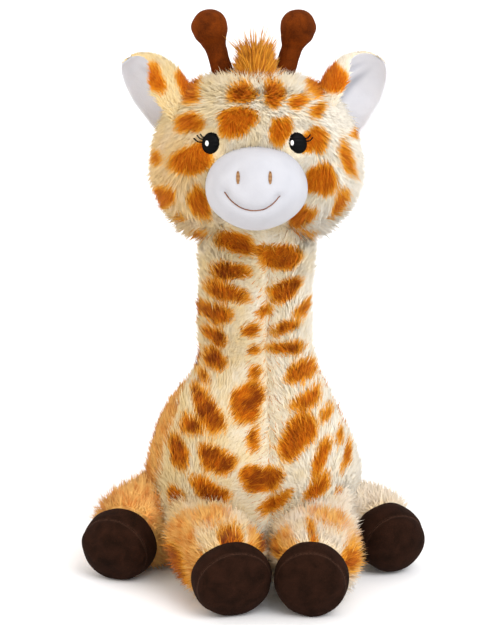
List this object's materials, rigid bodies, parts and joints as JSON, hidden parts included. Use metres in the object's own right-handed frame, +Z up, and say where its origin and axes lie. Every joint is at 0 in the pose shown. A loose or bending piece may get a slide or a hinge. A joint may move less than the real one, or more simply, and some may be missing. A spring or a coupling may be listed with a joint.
{
  "type": "plush giraffe",
  "caption": "Seated plush giraffe with a patched coat, long neck, white muzzle, velour hooves and ossicones, cupped ears and soft jointed limbs.",
  "frame": {"origin": "middle of the flat seat under the torso, on the floor", "axes": "+Z up, the toy faces -Y, its own left is +X"},
  "size_m": [0.2318, 0.2665, 0.3793],
  "materials": {
    "long_pile_plush": "matte",
    "mane_plush": "matte",
    "white_plush": "matte",
    "ossicone_velour": "matte",
    "hoof_velour": "matte",
    "eye_thread": "matte",
    "polyester_filling": "matte",
    "bean_pouch": "matte"
  },
  "bodies": {
    "torso": {"torso_skin": "long_pile_plush", "torso_filling": "polyester_filling", "bean_bag": "bean_pouch"},
    "neck": {"neck_skin": "long_pile_plush", "neck_filling": "polyester_filling", "neck_mane": "mane_plush"},
    "head": {"head_skin": "long_pile_plush", "head_filling": "polyester_filling", "muzzle_skin": "white_plush", "eye_left": "eye_thread", "eye_right": "eye_thread", "head_mane": "mane_plush"},
    "ear_left": {"ear_left_fur": "long_pile_plush", "ear_left_lining": "white_plush"},
    "ear_right": {"ear_right_fur": "long_pile_plush", "ear_right_lining": "white_plush"},
    "ossicone_left": {"ossicone_left_skin": "ossicone_velour", "ossicone_left_filling": "polyester_filling"},
    "ossicone_right": {"ossicone_right_skin": "ossicone_velour", "ossicone_right_filling": "polyester_filling"},
    "front_leg_left": {"front_leg_left_skin": "long_pile_plush", "front_leg_left_filling": "polyester_filling", "front_hoof_left_band": "hoof_velour", "front_hoof_left_sole": "hoof_velour"},
    "front_leg_right": {"front_leg_right_skin": "long_pile_plush", "front_leg_right_filling": "polyester_filling", "front_hoof_right_band": "hoof_velour", "front_hoof_right_sole": "hoof_velour"},
    "hind_leg_left": {"hind_leg_left_skin": "long_pile_plush", "hind_leg_left_filling": "polyester_filling", "hind_hoof_left_band": "hoof_velour", "hind_hoof_left_sole": "hoof_velour"},
    "hind_leg_right": {"hind_leg_right_skin": "long_pile_plush", "hind_leg_right_filling": "polyester_filling", "hind_hoof_right_band": "hoof_velour", "hind_hoof_right_sole": "hoof_velour"},
    "tail": {"tail_tube": "long_pile_plush", "tail_tuft": "mane_plush"}
  },
  "joints": [
    {"name": "neck_lean", "type": "hinge", "parent": "torso", "child": "neck", "pos_m": [0, 0, 0.06], "axis": [1, 0, 0], "range_deg": [-12, 12], "stiffness_Nm_per_rad": 1.2},
    {"name": "head_turn", "type": "hinge", "parent": "neck", "child": "head", "pos_m": [0, 0, 0.231], "axis": [0, 0, 1], "range_deg": [-30, 30], "stiffness_Nm_per_rad": 0.4},
    {"name": "ear_fold_left", "type": "hinge", "parent": "head", "child": "ear_left", "pos_m": [0.06227, -0.0049, 0.31412], "axis": [-0.7578, -0.3161, 0.5708], "range_deg": [-12, 12], "stiffness_Nm_per_rad": 0.02},
    {"name": "ear_fold_right", "type": "hinge", "parent": "head", "child": "ear_right", "pos_m": [-0.06227, 0.0049, 0.31412], "axis": [-0.5707, 0.6625, -0.4851], "range_deg": [-12, 12], "stiffness_Nm_per_rad": 0.02},
    {"name": "ossicone_bend_left", "type": "hinge", "parent": "head", "child": "ossicone_left", "pos_m": [0.02025, 0.00242, 0.3378], "axis": [0.9969, -0.0785, 0], "range_deg": [-10, 10], "stiffness_Nm_per_rad": 0.03},
    {"name": "ossicone_bend_right", "type": "hinge", "parent": "head", "child": "ossicone_right", "pos_m": [-0.01963, 0.00556, 0.3378], "axis": [0.9969, -0.0785, 0], "range_deg": [-10, 10], "stiffness_Nm_per_rad": 0.03},
    {"name": "front_leg_left_lift", "type": "hinge", "parent": "torso", "child": "front_leg_left", "pos_m": [0.0387, -0.05625, 0.04195], "axis": [-0.9842, 0.1773, 0], "range_deg": [0, 12], "stiffness_Nm_per_rad": 0.3},
    {"name": "front_leg_right_lift", "type": "hinge", "parent": "torso", "child": "front_leg_right", "pos_m": [-0.0387, -0.05625, 0.04195], "axis": [-0.9842, -0.1773, 0], "range_deg": [0, 12], "stiffness_Nm_per_rad": 0.3},
    {"name": "hind_leg_left_lift", "type": "hinge", "parent": "torso", "child": "hind_leg_left", "pos_m": [0.07176, -0.01613, 0.03196], "axis": [-0.788, -0.6157, 0], "range_deg": [0, 12], "stiffness_Nm_per_rad": 0.3},
    {"name": "hind_leg_right_lift", "type": "hinge", "parent": "torso", "child": "hind_leg_right", "pos_m": [-0.07176, -0.01613, 0.03196], "axis": [-0.788, 0.6157, 0], "range_deg": [0, 12], "stiffness_Nm_per_rad": 0.3},
    {"name": "tail_lift", "type": "hinge", "parent": "torso", "child": "tail", "pos_m": [0, 0.066, 0.046], "axis": [1, 0, 0], "range_deg": [0, 50]}
  ]
}
